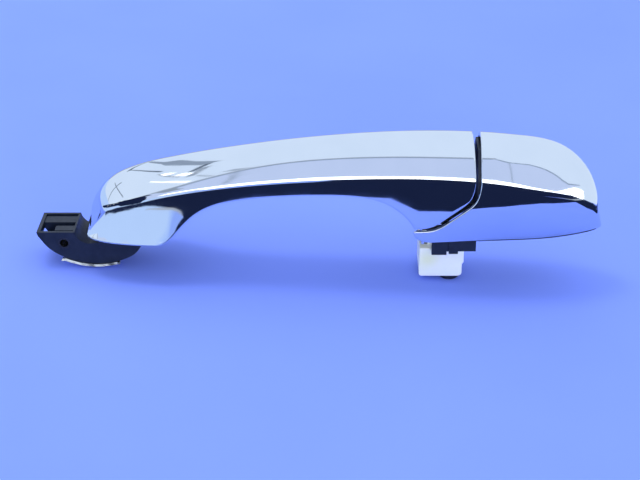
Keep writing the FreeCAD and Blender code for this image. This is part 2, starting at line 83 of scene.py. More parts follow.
FRONT, REAR = 4.2, 229.82       # the front tip at the crease, and the tail at the foot
LEAN, TAIL_LEAN = 2.2, 2.2      # how far the tips stand out further at the foot than at the crease
FOOT = 0.62                     # where the skin stops above the door, before its rounded edge
EDGE_RADIUS = 0.5
CREASE_ROUND = 1.1              # reach of the softened crease on either side of it
WALL, THIN_WALL = 1.8, 0.04     # wall thickness, and the least it is at the narrow tips
INSIDE = 0.02                   # keeps the crown inside the CAD model's box
crease_width = natural_spline([(FRONT, 14.5), (35, 14.0), (80, 13.0), (130, 14.2), (175, 15.0), (205, 14.0),
                               (REAR, 11.0)])
crease_height = natural_spline([(FRONT, 7.0), (10, 12.2), (20, 17.2), (37, 21.6), (75, 26.6), (120, 29.5),
                                (160, 29.9), (190, 26.7), (205, 22.6), (218, 16.8), (226, 10.8), (REAR, 5.8)])
crown_rise = natural_spline([(FRONT, 14.0), (12, 12.6), (25, 11.0), (50, 11.2), (90, 13.6), (140, 15.3),
                             (180, 16.3), (200, 18.6), (215, 22.2), (REAR, 24.0)])
side_flare = natural_spline([(FRONT, 2.0), (40, 2.8), (120, 3.4), (180, 3.4), (REAR, 1.5)])
# Side views of the arch under the grip, and of the pull's rear edge from the crease down to the lip.
ARCH = [(35.0, 0.0), (36.6, 0.35), (39.6, 2.0), (43.0, 5.3), (46.8, 9.2), (52.4, 13.6), (60.5, 17.3),
        (71.2, 19.5), (84.0, 20.9), (99.0, 21.7), (114.0, 21.9), (126.7, 20.7), (135.2, 17.8), (142.2, 12.4),
        (145.7, 7.4), (147.6, 3.1), (150.4, 0.0)]
PULL_EDGE = [(172.1, 30.5), (171.8, 27.4), (171.1, 23.4), (169.6, 20.2), (166.5, 17.2), (162.9, 14.4),
             (158.8, 11.2), (155.3, 8.7), (151.8, 7.3), (147.6, 6.9), (143.0, 6.9)]
GAP_TOP, GAP_LIP = 2.0, 1.1     # how far the cap's edge is behind and below the pull's


def clamped(share):
    """The share, kept between 0 and 1."""
    return min(max(share, 0.0), 1.0)


def smooth_step(share):
    """From 0 to 1 as the share does, but level at both ends."""
    share = clamped(share)
    return share * share * (3 - 2 * share)


def nose(distance, length, power, root):
    """Blunt rounding from 0 at a tip to 1 at the given length from it."""
    if distance >= length:
        return 1.0
    return (1 - (1 - max(distance, 0.0) / length) ** power) ** (1 / root)


def front_round(x, t):
    """Rounding of the side wall towards the front tip, blunter at the foot (t = 0) than at the crease (1)."""
    return nose(x - FRONT + LEAN * (1 - t), 32 - 6 * t, 1.5 + 0.7 * t, 5.0 - 3.0 * t)


def tail_round(x, t):
    """Rounding of the side wall towards the tail, which leans in from the foot to the crease."""
    return nose(REAR - TAIL_LEAN * t - x, 38, 2.2, 2.3)


def sole(x):
    """Extra breadth of the front foot, gone where the arch begins."""
    return 3.4 * smooth_step((66.0 - x) / 26.0)


def barrel(x):
    """How far the side wall is tucked in again towards the door: 0 along the pull, 1 along the cap."""
    return smooth_step((x - 130.0) / 60.0)


def half_width(x):
    """Half-breadth at the crease."""
    return crease_width(x) * front_round(x, 1) * tail_round(x, 1)


def rise(x):
    """Height of the crown's ridge above the crease."""
    return (crown_rise(x) - INSIDE) * nose(x - FRONT, 34, 2.0, 2.2) * nose(REAR - TAIL_LEAN - x, 34, 2.0, 2.0)


def side_y(x, z):
    """Half-breadth of the side wall at height z, below the crease."""
    t = clamped(z / crease_height(min(max(x, FRONT), REAR - TAIL_LEAN)))
    breadth = crease_width(x) + (side_flare(x) + 2 * barrel(x)) * (1 - t) * (1 + 0.5 * t)
    breadth += (sole(x) - 6 * barrel(x)) * (1 - t) ** 2
    return breadth * front_round(x, t) * tail_round(x, t)


def crown_point(x, share):
    """Half-breadth and height of the crown, from the crease (share 0) to the ridge (share 1)."""
    power = 2.0 - 0.35 * clamped((x - 180.0) / 35.0)
    return half_width(x) * (1 - share), crease_height(x) + rise(x) * (1 - (1 - share) ** power)


def wall_top(x):
    """Height at which the side wall passes into the softened crease."""
    return crease_height(x) - CREASE_ROUND


# ---------------------------------------------------------------- side-view curves, as lists of (x, z)

FINE_STEPS = 800


def distances(points):
    """Length along a polyline at each of its points."""
    along = [0.0]
    for a, b in zip(points, points[1:]):
        along.append(along[-1] + math.hypot(b[0] - a[0], b[1] - a[1]))
    return along


def resampled(points, count):
    """Evenly spaced points along a smooth curve through the given ones."""
    knots = distances(points)
    curve_x = natural_spline(list(zip(knots, [p[0] for p in points])))
    curve_z = natural_spline(list(zip(knots, [p[1] for p in points])))
    steps = [knots[-1] * i / FINE_STEPS for i in range(FINE_STEPS + 1)]
    fine = [(curve_x(step), curve_z(step)) for step in steps]
    along = distances(fine)
    out, i = [], 0
    for k in range(count):
        target = along[-1] * (k / (count - 1))
        while i < FINE_STEPS - 1 and along[i + 1] < target:
            i += 1
        u = (target - along[i]) / max(along[i + 1] - along[i], 1e-9)
        a, b = fine[i], fine[i + 1]
        out.append((a[0] + u * (b[0] - a[0]), a[1] + u * (b[1] - a[1])))
    return out


def crossing(curve, z):
    """x of a side-view curve, given as dense points, where it first reaches height z."""
    for a, b in zip(curve, curve[1:]):
        if (a[1] - z) * (b[1] - z) <= 0 and a[1] != b[1]:
            return a[0] + (z - a[1]) / (b[1] - a[1]) * (b[0] - a[0])
    return curve[-1][0]


def crowded(first, last, count, power, at_start):
    """Numbers from first to last, crowded towards one end."""
    shares = [i / (count - 1) for i in range(count)]
    if at_start:
        return [first + (last - first) * s ** power for s in shares]
    return [last - (last - first) * (1 - s) ** power for s in shares]


def moved(points, distance):
    """Curve moved sideways, to the left of its direction of travel for a positive distance."""
    out = []
    for i, (x, z) in enumerate(points):
        before, after = points[max(i - 1, 0)], points[min(i + 1, len(points) - 1)]
        dx, dz = after[0] - before[0], after[1] - before[1]
        length = math.hypot(dx, dz)
        out.append((x - dz / length * distance, z + dx / length * distance))
    return out


def thinned(points, step):
    """Every so many points of a dense curve, and always its last."""
    return points[:-step][::step] + [points[-1]]


# ---------------------------------------------------------------- mesh helpers

SIDE_ROWS, CREASE_ROWS, CROWN_ROWS = 34, 5, 34
ROUND_STEPS = 4                 # faces across a rounded edge
WELD = 0.002 * MM


def add_object(name, data):
    """Puts a new object around a mesh, light or camera into the scene."""
    made = bpy.data.objects.new(name, data)
    bpy.context.scene.collection.objects.link(made)
    return made


def new_object(name, verts, faces, smooth=True):
    mesh = bpy.data.meshes.new(name)
    mesh.from_pydata([tuple((Vector(v) + SHIFT) * MM) for v in verts], [], faces)
    mesh.validate()
    if smooth:
        mesh.shade_smooth()
    return add_object(name, mesh)


def patch(bottom, top, left, right, rows, hold):
    """Ruled patch between the bottom and top curves, bent near its ends to follow the left and right curves.

    bottom and top run left to right, left and right run upwards. hold is how quickly those bends die away."""
    columns = len(bottom)
    grid = []
    for i in range(rows):
        t = i / (rows - 1)
        line = []
        for j in range(columns):
            s = j / (columns - 1)
            point = []
            for k in (0, 1):
                ruled = (1 - t) * bottom[j][k] + t * top[j][k]
                bend_left = left[i][k] - (1 - t) * bottom[0][k] - t * top[0][k]
                bend_right = right[i][k] - (1 - t) * bottom[-1][k] - t * top[-1][k]
                point.append(ruled + (1 - s) ** hold * bend_left + s ** hold * bend_right)
            line.append(tuple(point))
        grid.append(line)
    return grid


def crease_rows(crease_x, lowest_share):
    """Rows around the softened crease, between the side wall and the crown."""
    rows = []
    for i in range(1, CREASE_ROWS):
        u = i / CREASE_ROWS
        line = []
        for x, share in zip(crease_x, lowest_share):
            low = Vector((x, -side_y(x, wall_top(x)), wall_top(x)))
            corner = Vector((x, -half_width(x), crease_height(x)))
            y, z = crown_point(x, share)
            high = Vector((x, -y, z))
            line.append(tuple(low * (1 - u) ** 2 + corner * 2 * u * (1 - u) + high * u * u))
        rows.append(line)
    return rows


def crown_rows(crease_x, lowest_share, slant):
    """Rows from the softened crease up to the ridge, the last of them moved sideways by the slant."""
    rows = []
    for i in range(CROWN_ROWS):
        u = i / (CROWN_ROWS - 1)
        line = []
        for x, share in zip(crease_x, lowest_share):
            near_end = (x - crease_x[0]) / (crease_x[-1] - crease_x[0])
            here = x + slant * u * near_end ** 8
            y, z = crown_point(here, share + (1 - share) * u)
            line.append((here, -y, z))
        rows.append(line)
    return rows


def chrome_skin(name, bottom, crease_x, left, right, hold, slant=0.0):
    """Chrome piece from the side-view curves of its lower edge and its two ends.

    crease_x is where each of its columns meets the crease. hold is that of patch. slant moves the last of the
    crown sideways by that much at the ridge."""
    top = [(x, wall_top(x)) for x in crease_x]
    wall = patch(bottom, top, left, right, SIDE_ROWS, hold)
    rows = [[(x, -side_y(x, z), z) for x, z in line] for line in wall]
    lowest_share = []
    for x in crease_x:
        reach = math.hypot(max(half_width(x), 1e-4), 2 * max(rise(x), 1e-4))
        lowest_share.append(min(CREASE_ROUND / reach, 0.5))
    rows += crease_rows(crease_x, lowest_share) + crown_rows(crease_x, lowest_share, slant)
    rows += [[(x, -y, z) for x, y, z in line] for line in reversed(rows[:-1])]
    columns = len(bottom)
    faces = []
    for i in range(len(rows) - 1):
        for j in range(columns - 1):
            a = i * columns + j
            faces.append((a, a + 1, a + columns + 1, a + columns))
    made = new_object(name, [v for line in rows for v in line], faces)
    close_wall(made)
    return made


def outward_at(rim, normals):
    """Direction out of the skin at each point of its rim."""
    outward = {}
    for edge in rim:
        inside = edge.link_faces[0].calc_center_median() - edge.verts[0].co
        along = (edge.verts[1].co - edge.verts[0].co).normalized()
        for v in edge.verts:
            out = along.cross(normals[v])
            if out.dot(inside) > 0:
                out.negate()
            outward[v] = outward.get(v, Vector()) + out
    return outward


def close_wall(made):
    """Turns an open skin into a closed wall: rounded edges, then an inner face a wall thickness below."""
    work = bmesh.new()
    work.from_mesh(made.data)
    bmesh.ops.remove_doubles(work, verts=work.verts, dist=WELD)
    bmesh.ops.dissolve_degenerate(work, edges=work.edges, dist=WELD / 2)
    bmesh.ops.recalc_face_normals(work, faces=work.faces)
    work.normal_update()
    highest = max(work.verts, key=lambda v: v.co.z)
    if highest.normal.z < 0:
        bmesh.ops.reverse_faces(work, faces=work.faces)
        work.normal_update()
    outer_faces = list(work.faces)
    outer_verts = list(work.verts)
    normals = {v: v.normal.copy() for v in outer_verts}
    rim = [e for e in work.edges if len(e.link_faces) == 1]
    outward = outward_at(rim, normals)
    rings = {v: [v] for v in outward}
    for step in range(1, ROUND_STEPS + 1):
        angle = math.radians(90 * step / ROUND_STEPS)
        for v, out in outward.items():
            shift = out.normalized() * math.sin(angle) - normals[v] * (1 - math.cos(angle))
            rings[v].append(work.verts.new(v.co + shift * EDGE_RADIUS * MM))
    inner = {}
    for v in outer_verts:
        breadth = half_width(min(max((v.co.x / MM) - SHIFT.x, FRONT), REAR))
        wall = max(min(WALL, 0.45 * breadth), THIN_WALL)
        start = v.co + outward[v].normalized() * EDGE_RADIUS * MM if v in outward else v.co
        inner[v] = work.verts.new(start - normals[v] * wall * MM)
        if v in rings:
            rings[v].append(inner[v])
    for edge in rim:
        corner = next(loop for loop in edge.link_faces[0].loops if loop.edge == edge)
        a, b = corner.link_loop_next.vert, corner.vert
        for k in range(ROUND_STEPS + 1):
            work.faces.new((rings[a][k], rings[b][k], rings[b][k + 1], rings[a][k + 1]))
    for face in outer_faces:
        work.faces.new([inner[v] for v in reversed(face.verts)])
    work.normal_update()
    work.to_mesh(made.data)
    work.free()
    made.data.shade_smooth()


# ---------------------------------------------------------------- the two chrome pieces

DRAWN = []                      # each piece drawn here, with its material slot


def takes_slot(piece, slot):
    """Gives the piece a material slot of the record."""
    DRAWN.append((piece, slot))


def stands_for(piece, node_name, body):
    """Rides the piece on a body in place of a CAD node, in that node's material."""
    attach(piece, body)
    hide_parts(node_name)
    takes_slot(piece, SLOTS[node_name])


def upright(x, lean):
    """Side-view line up a tip from the foot to the crease at x, leaning outwards by lean at the foot."""
    high = wall_top(x)
    heights = [FOOT + (high - FOOT) * i / (SIDE_ROWS - 1) for i in range(SIDE_ROWS)]
    return [(x + lean * (1 - z / crease_height(x)), z) for z in heights]


# Where the pull's lower edge and the cap's begin to climb beside the gap, and where they meet the crease.
LIP_CORNER, CAP_CORNER = (146.2, 7.4), (146.0, 5.3)
PULL_GAP_X, CAP_GAP_X = 172.0, 174.1
FOOT_COLUMNS, ARCH_COLUMNS, LIP_COLUMNS, CAP_COLUMNS = 54, 110, 26, 96
FAN_START = 52.0                # from here the pull's columns lean back to meet the slanted gap
LEAD_LENGTH = 30                # over this length from the tip the columns take up its lean
CURVE_POINTS = 600
CLEAR = 0.6                     # how far past a corner the edge of the gap is taken up
edge_curve = resampled(PULL_EDGE[::-1], CURVE_POINTS)


def draw_pull():
    """The pull: foot line, then the arch up to the corner at the gap, and the gap's edge up to the crease.

    The curves are drawn in by the edge radius, which the rounded edge adds again."""
    arch = moved(resampled(ARCH, CURVE_POINTS), EDGE_RADIUS)
    edge = moved(edge_curve, EDGE_RADIUS)
    heel = crossing(arch, FOOT)
    left = upright(FRONT, -LEAN)
    tip = left[0][0]
    foot = [(x, FOOT) for x in crowded(tip, heel, FOOT_COLUMNS, 1.7, True)]
    arch = [p for p in arch if p[1] > FOOT + 0.3 and p[0] < LIP_CORNER[0] - 0.5]
    arch = [(heel, FOOT)] + arch + [LIP_CORNER]
    bottom = foot + resampled(thinned(arch, 6), ARCH_COLUMNS)[1:]
    end_height = wall_top(PULL_GAP_X)
    end = (crossing(edge, end_height), end_height)
    climb = [p for p in edge if p[0] > LIP_CORNER[0] + CLEAR and p[1] < end_height]
    climb = [LIP_CORNER] + climb + [end]
    right = resampled(thinned(climb, 8), SIDE_ROWS)
    spread = right[-1][0] - LIP_CORNER[0]
    crease_x = []
    for x, _ in bottom:
        share = max(0.0, (x - FAN_START) / (LIP_CORNER[0] - FAN_START))
        lead = (FRONT - tip) * max(0.0, 1 - (x - tip) / LEAD_LENGTH)
        crease_x.append(x + lead + spread * share ** 2.2)
    return chrome_skin("chrome_pull", bottom, crease_x, left, right, hold=9, slant=-1.1)


def draw_cap():
    """The cap: from the lip in front of the gap to the tail."""
    edge = moved([(x + GAP_TOP, z - GAP_LIP) for x, z in edge_curve], -EDGE_RADIUS)
    lip_end = 153.6
    lip = resampled([CAP_CORNER, (146.4, 3.9), (147.8, 2.3), (150.2, 1.1), (lip_end, FOOT)], LIP_COLUMNS)
    bottom = lip + [(x, FOOT) for x in crowded(lip_end, REAR - 0.25, CAP_COLUMNS, 1.9, False)[1:]]
    end_height = wall_top(CAP_GAP_X)
    end = (crossing(edge, end_height), end_height)
    climb = [p for p in edge if p[0] > CAP_CORNER[0] + CLEAR and p[1] < end_height]
    climb = [CAP_CORNER] + climb + [end]
    left = resampled(thinned(climb, 8), SIDE_ROWS)
    start, last = left[-1][0], bottom[-1][0]
    crease_x = []
    for x, _ in bottom:
        share = (x - CAP_CORNER[0]) / (last - CAP_CORNER[0])
        crease_x.append(start + (REAR - TAIL_LEAN - start) * share)
    right = upright(REAR - TAIL_LEAN, TAIL_LEAN)
    return chrome_skin("chrome_cap", bottom, crease_x, left, right, hold=1.5)


pull_skin = draw_pull()
cap_skin = draw_cap()
stands_for(pull_skin, "pull_outer_shell", "pull")
stands_for(cap_skin, "cap_shell", "cap")

# ---------------------------------------------------------------- the smaller visible parts


def node_copy(node_name, name):
    """Copy of a CAD node's mesh in frame coordinates, its flat areas joined up again."""
    source = nodes[node_name]
    work = bmesh.new()
    work.from_mesh(source.data)
    work.transform(source.matrix_world)
    bmesh.ops.remove_doubles(work, verts=work.verts, dist=WELD)
    bmesh.ops.dissolve_limit(work, angle_limit=math.radians(0.5), verts=work.verts, edges=work.edges)
    mesh = bpy.data.meshes.new(name)
    work.to_mesh(mesh)
    work.free()
    return add_object(name, mesh)


def eased(node_name, name, body, width):
    """Stands for a CAD node, with its edges rounded off."""
    made = node_copy(node_name, name)
    ease = made.modifiers.new("ease", "BEVEL")
    ease.width = width * MM
    ease.segments = 3
    ease.limit_method = "ANGLE"
    ease.angle_limit = math.radians(35)
    ease.use_clamp_overlap = False
    graph = bpy.context.evaluated_depsgraph_get()
    rounded = bpy.data.meshes.new_from_object(made.evaluated_get(graph))
    made.modifiers.clear()
    work = bmesh.new()
    work.from_mesh(rounded)
    bmesh.ops.remove_doubles(work, verts=work.verts, dist=2 * WELD)
    bmesh.ops.dissolve_degenerate(work, edges=work.edges, dist=WELD)
    work.to_mesh(rounded)
    work.free()
    made.data = rounded
    rounded.set_sharp_from_angle(angle=math.radians(50))
    stands_for(made, node_name, body)


def inset(node_name, name, body, share):
    """Stands for a gasket, drawn in under its shell, a little more across the handle than along it."""
    made = node_copy(node_name, name)
    xs = [v.co.x for v in made.data.vertices]
    middle = (min(xs) + max(xs)) / 2
    for v in made.data.vertices:
        v.co.x = middle + (v.co.x - middle) * share
        v.co.y *= share - 0.04
    stands_for(made, node_name, body)


eased("retainer_block", "block_moulding", "cap", 0.45)
inset("cap_gasket", "cap_foam", "cap", 0.97)
inset("front_gasket", "front_foam", "pull", 0.94)

BELLY_MIDDLE, BELLY_RADIUS = Vector((6.39, 0.0, 16.76)), 31.57     # arc of the arm's underside
SPRING_STEPS = 48
SPRING_START, SPRING_SWEEP = -118.0, 46.0                           # in degrees around the belly
SPRING_HALF, SPRING_CHAMFER = 10.4, 0.7
SPRING_GAUGE, SPRING_GAP = 0.72, 0.06


def spring_lift(share):
    """How far the spring stands off the arm: its two ends are bent away a little."""
    front, rear = 0.06, 0.05
    lift = SPRING_GAP
    if share < front:
        lift += 0.9 * (front - share) / front
    if share > 1 - rear:
        lift += 0.6 * (share - (1 - rear)) / rear
    return lift


def draw_spring():
    """Leaf spring under the arm, its edges broken by a chamfer that catches the light."""
    verts = []
    for i in range(SPRING_STEPS + 1):
        share = i / SPRING_STEPS
        angle = math.radians(SPRING_START + SPRING_SWEEP * share)
        ray = Vector((math.cos(angle), 0, math.sin(angle)))
        half = SPRING_HALF + 0.05 * math.sin(23 * share)
        near = spring_lift(share)
        far = near + SPRING_GAUGE + 0.05 * math.sin(17 * share) + 0.03 * math.sin(37 * share + 1)
        inset_half = half - SPRING_CHAMFER
        for y, out in ((-inset_half, near), (-half, far), (half, far), (inset_half, near)):
            place = BELLY_MIDDLE + ray * (BELLY_RADIUS + out)
            verts.append((place.x, y, place.z))
    faces = [(0, 1, 2, 3), tuple(4 * SPRING_STEPS + k for k in (3, 2, 1, 0))]
    for i in range(SPRING_STEPS):
        for k in range(4):
            a, b = 4 * i + k, 4 * i + (k + 1) % 4
            faces.append((a, a + 4, b + 4, b))
    return new_object("leaf_spring", verts, faces, smooth=False)


PLATE_NEAR, PLATE_FAR = 172.8, 174.0
PLATE_LEVELS = [8.0 + 2.0 * i for i in range(17)]
PLATE_INSET = 2.0               # from the chrome's outer face


def draw_front_plate():
    """Dark plate inside the gap at the front of the cap, set in from the chrome's outer face, which makes the
    gap show dark.
    """
    x = (PLATE_NEAR + PLATE_FAR) / 2
    side = []
    for z in PLATE_LEVELS:
        if z <= crease_height(x):
            breadth = side_y(x, z)
        else:
            climbed = min((z - crease_height(x)) / rise(x), 0.999)
            breadth = half_width(x) * (1 - climbed) ** 0.5
        side.append((max(breadth - PLATE_INSET, 0.5), z))
    outline = [(-y, z) for y, z in side] + list(reversed(side))
    verts = [(PLATE_NEAR, y, z) for y, z in outline] + [(PLATE_FAR, y, z) for y, z in outline]
    count = len(outline)
    faces = [tuple(range(count)), tuple(range(2 * count - 1, count - 1, -1))]
    faces += [(k, k + count, (k + 1) % count + count, (k + 1) % count) for k in range(count)]
    return new_object("cap_front_plate", verts, faces, smooth=False)


stands_for(draw_spring(), "anti_rattle_spring", "pull")
front_plate = draw_front_plate()
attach(front_plate, "cap")
takes_slot(front_plate, "black_nylon")

# ---------------------------------------------------------------- materials

MIX_A, MIX_B, MIX_RESULT = 6, 7, 2     # the colour sockets of a Mix node, which share their names with others


class Shader:
    """Small helper for node materials."""

    def __init__(self, name):
        self.material = bpy.data.materials.new(name)
        self.material.use_nodes = True
        self.tree = self.material.node_tree
        self.principled = next(n for n in self.tree.nodes if n.type == "BSDF_PRINCIPLED")
        self.coordinates = self.add("ShaderNodeTexCoord").outputs["Object"]

    def add(self, kind, **values):
        made = self.tree.nodes.new(kind)
        for key, value in values.items():
            setattr(made, key, value)
        return made

    def link(self, source, target):
        self.tree.links.new(source, target)

    def set(self, **values):
        for key, value in values.items():
            self.principled.inputs[key.replace("_", " ")].default_value = value

    def into(self, name, source):
        self.link(source, self.principled.inputs[name])

    def noise(self, scale, detail=3.0, roughness=0.5, stretch=(1, 1, 1)):
        mapping = self.add("ShaderNodeMapping")
        mapping.inputs["Scale"].default_value = stretch
        self.link(self.coordinates, mapping.inputs["Vector"])
        made = self.add("ShaderNodeTexNoise")
        made.inputs["Scale"].default_value = scale
        made.inputs["Detail"].default_value = detail
        made.inputs["Roughness"].default_value = roughness
        self.link(mapping.outputs["Vector"], made.inputs["Vector"])
        return made.outputs["Fac"]

    def ramp(self, source, low, dark, high, light):
        """Colour from dark, where the source is at the low value, to light at the high one."""
        made = self.add("ShaderNodeValToRGB")
        for point, position, colour in zip(made.color_ramp.elements, (low, high), (dark, light)):
            point.position = position
            point.color = (*colour, 1)
        self.link(source, made.inputs["Fac"])
        return made.outputs["Color"]

    def span(self, source, low, high, from_low=0.3, from_high=0.7):
        """Value from low to high while the source goes from from_low to from_high."""
        made = self.add("ShaderNodeMapRange")
        limits = {"From Min": from_low, "From Max": from_high, "To Min": low, "To Max": high}
        for key, value in limits.items():
            made.inputs[key].default_value = value
        self.link(source, made.inputs["Value"])
        return made.outputs["Result"]

    def bump(self, source, strength, distance):
        made = self.add("ShaderNodeBump")
        made.inputs["Strength"].default_value = strength
        made.inputs["Distance"].default_value = distance * MM
        self.link(source, made.inputs["Height"])
        return made.outputs["Normal"]


def chrome_material():
    """Bright plating with a very slight wave and haze."""
    s = Shader("bright_chrome")
    s.set(Metallic=1.0)
    s.into("Base Color", s.ramp(s.noise(60, 2), 0.3, (0.71, 0.76, 0.83), 0.7, (0.74, 0.785, 0.85)))
    haze = s.noise(900, 4, 0.6, (0.12, 1, 1))
    s.into("Roughness", s.span(haze, 0.025, 0.06))
    s.into("Normal", s.bump(s.noise(55, 1.0), 0.05, 0.12))
    return s.material


def moulded_material(name, dark, light, rough, grain, depth, specular=0.5):
    """Plastic, rubber or foam. rough is its range of roughness, grain and depth belong to its fine bumps."""
    s = Shader(name)
    s.set(Specular_IOR_Level=specular)
    s.into("Base Color", s.ramp(s.noise(220, 4, 0.6), 0.3, dark, 0.7, light))
    s.into("Roughness", s.span(s.noise(700, 4, 0.6), *rough))
    s.into("Normal", s.bump(s.noise(grain, 2, 0.5), 0.35, depth))
    return s.material


def white_nylon_material():
    """Natural nylon, with a painted yellowish shade and glow at the upper left of the block's near face,
    standing in for the shaded recess and the warm light through the nylon there.
    """
    s = Shader("natural_nylon")
    s.set(Subsurface_Weight=0.25, Subsurface_Scale=0.002, Subsurface_Radius=(1.0, 0.9, 0.7))
    plain = s.ramp(s.noise(160, 3), 0.35, (0.90, 0.94, 0.84), 0.7, (0.93, 0.97, 0.93))
    # Painted shade: a yellowish patch around this point, strongest within 1 mm and gone by 7.5 mm, stands in
    # for the shaded recess on the block's near face.
    painted_shade_at = (0.1600, -0.0090, -0.0085)
    reach = s.add("ShaderNodeVectorMath", operation="DISTANCE")
    s.link(s.coordinates, reach.inputs[0])
    reach.inputs[1].default_value = painted_shade_at
    painted_shade_mix = s.add("ShaderNodeMix", data_type="RGBA")
    s.link(s.span(reach.outputs["Value"], 0.75, 0.0, 0.001, 0.0075), painted_shade_mix.inputs["Factor"])
    s.link(plain, painted_shade_mix.inputs[MIX_A])
    painted_shade_mix.inputs[MIX_B].default_value = (0.84, 0.86, 0.50, 1)
    s.into("Base Color", painted_shade_mix.outputs[MIX_RESULT])
    s.into("Roughness", s.span(s.noise(600, 4), 0.38, 0.52))
    s.into("Normal", s.bump(s.noise(1800, 2), 0.25, 0.04))
    return s.material


def metal_material(name, dark, light, rough, stretch=(1, 1, 1), depth=0.02):
    """Bare or plated metal. stretch draws its grain out along x."""
    grain = 1500
    s = Shader(name)
    s.set(Metallic=1.0)
    s.into("Base Color", s.ramp(s.noise(300, 3), 0.3, dark, 0.7, light))
    s.into("Roughness", s.span(s.noise(grain, 4, 0.6, stretch), *rough))
    s.into("Normal", s.bump(s.noise(grain, 3, 0.6, stretch), 0.3, depth))
    return s.material


LOOKS = {
    "chrome": chrome_material(),
    "black_nylon": moulded_material("black_glass_nylon", (0.005, 0.009, 0.022), (0.012, 0.018, 0.038),
                                    rough=(0.34, 0.50), grain=2600, depth=0.05, specular=0.35),
    "black_liner": moulded_material("black_liner", (0.012, 0.012, 0.015), (0.022, 0.022, 0.026),
                                    rough=(0.45, 0.6), grain=1600, depth=0.06),
    "white_nylon": white_nylon_material(),
    "white_acetal": moulded_material("natural_acetal", (0.72, 0.72, 0.70), (0.80, 0.80, 0.78),
                                     rough=(0.3, 0.42), grain=1500, depth=0.03),
    "zinc_alloy": metal_material("cast_zinc", (0.42, 0.43, 0.45), (0.55, 0.56, 0.58),
                                 rough=(0.4, 0.58), depth=0.06),
    "spring_steel": metal_material("spring_strip", (0.70, 0.71, 0.73), (0.82, 0.83, 0.85),
                                   rough=(0.14, 0.3), stretch=(0.1, 1, 1)),
    "plated_steel": metal_material("plated_steel", (0.62, 0.63, 0.64), (0.76, 0.77, 0.78),
                                   rough=(0.22, 0.36)),
    "black_steel": metal_material("black_oxide", (0.03, 0.03, 0.034), (0.07, 0.07, 0.078),
                                  rough=(0.34, 0.5)),
    "black_acetal": moulded_material("black_acetal", (0.008, 0.008, 0.010), (0.014, 0.014, 0.017),
                                     rough=(0.22, 0.34), grain=1500, depth=0.03),
    "rubber": moulded_material("black_rubber", (0.010, 0.010, 0.011), (0.020, 0.020, 0.022),
                               rough=(0.6, 0.75), grain=1400, depth=0.06, specular=0.3),
    "foam": moulded_material("gasket_foam", (0.015, 0.015, 0.017), (0.032, 0.032, 0.034),
                             rough=(0.8, 0.95), grain=3200, depth=0.16, specular=0.2),
}

for name, node in nodes.items():
    if not node.material_slots:
        node.data.materials.append(None)
    for slot in node.material_slots:
        slot.material = LOOKS[SLOTS[name]]
for piece, slot in DRAWN:
    piece.data.materials.clear()
    piece.data.materials.append(LOOKS[slot])

# ---------------------------------------------------------------- floor

BELLY_X, BELLY_Z = 7, -16.65    # where the belly of the arm rests on the floor
FLOOR_FALL = 0.0465             # how steeply the floor falls from there to the block, the other rest


def ground(x):
    """Height of the floor under the handle as it lies."""
    return BELLY_Z - FLOOR_FALL * (x - BELLY_X)


def on_floor(points, lift=0.0):
    return [(x, y, ground(x) + lift) for x, y in points]


def rectangle(left, low, right, high):
    return [(left, low), (right, low), (right, high), (left, high)]


def flat_card(name, corners, material):
    """Flat sheet of the studio, which is no part of the handle."""
    made = new_object(name, corners, [tuple(range(len(corners)))], smooth=False)
    made.data.materials.append(material)
    return made


def paper_material():
    """Pale blue background paper."""
    s = Shader("pale_blue_paper")
    s.set(Roughness=0.8, Specular_IOR_Level=0.1)
    s.into("Base Color", s.ramp(s.noise(8, 3), 0.35, (0.195, 0.285, 0.90), 0.65, (0.205, 0.297, 0.93)))
    s.into("Normal", s.bump(s.noise(900, 3), 0.12, 0.05))
    return s.material


flat_card("floor", on_floor(rectangle(-2500, -2500, 2700, 3500)), paper_material())

# ---------------------------------------------------------------- what the chrome sees, on cards

CEILING_Z = 1200
WALL_Y = -1300                  # the wall behind the camera, with other cards hung just in front of it
SIDE_X = 4400                   # the walls at either end
CEILING = (0.83, 0.95, 1.12)
WALL_TONE = (0.67, 0.77, 1.03)
WINDOW = (0.60, 0.79, 1.15)
DARK = (0.011, 0.018, 0.056)
GREY = (0.50, 0.54, 0.62)
BEAM = (0.16, 0.20, 0.27)
LAMP = (1.0, 1.0, 1.0)


def glow(name, colour, strength):
    """Material that gives off an even light."""
    material = bpy.data.materials.new(name)
    material.use_nodes = True
    tree = material.node_tree
    tree.nodes.clear()
    out = tree.nodes.new("ShaderNodeOutputMaterial")
    light = tree.nodes.new("ShaderNodeEmission")
    light.inputs["Color"].default_value = (*colour, 1)
    light.inputs["Strength"].default_value = strength
    tree.links.new(light.outputs[0], out.inputs["Surface"])
    return material


def reflection_card(name, corners, colour, strength=1.0, lights=False):
    """Card seen only in reflections, and in diffuse light if asked."""
    card = flat_card(name, corners, glow(name, colour, strength))
    card.visible_camera = False
    card.visible_shadow = False
    card.visible_diffuse = lights
    card.visible_transmission = False


def overhead(points, drop=0):
    """Corners on the ceiling, or that far below it."""
    return [(x, y, CEILING_Z - drop) for x, y in points]


def on_wall(points, forward=0):
    """Corners on the wall behind the camera, or that far in front of it."""
    return [(x, WALL_Y + forward, z) for x, z in points]


def across(x, points):
    """Corners on an upright plane across the handle."""
    return [(x, y, z) for y, z in points]


def ribbon(name, points, width, colour, strength=1.0, drop=10):
    """Strip of even width along points below the ceiling, such as a beam or a lamp."""
    left, right = [], []
    for i, (x, y) in enumerate(points):
        before, after = points[max(i - 1, 0)], points[min(i + 1, len(points) - 1)]
        along = Vector((after[0] - before[0], after[1] - before[1])).normalized() * width / 2
        left.append((x - along.y, y + along.x))
        right.append((x + along.y, y - along.x))
    reflection_card(name, overhead(left + right[::-1], drop), colour, strength)


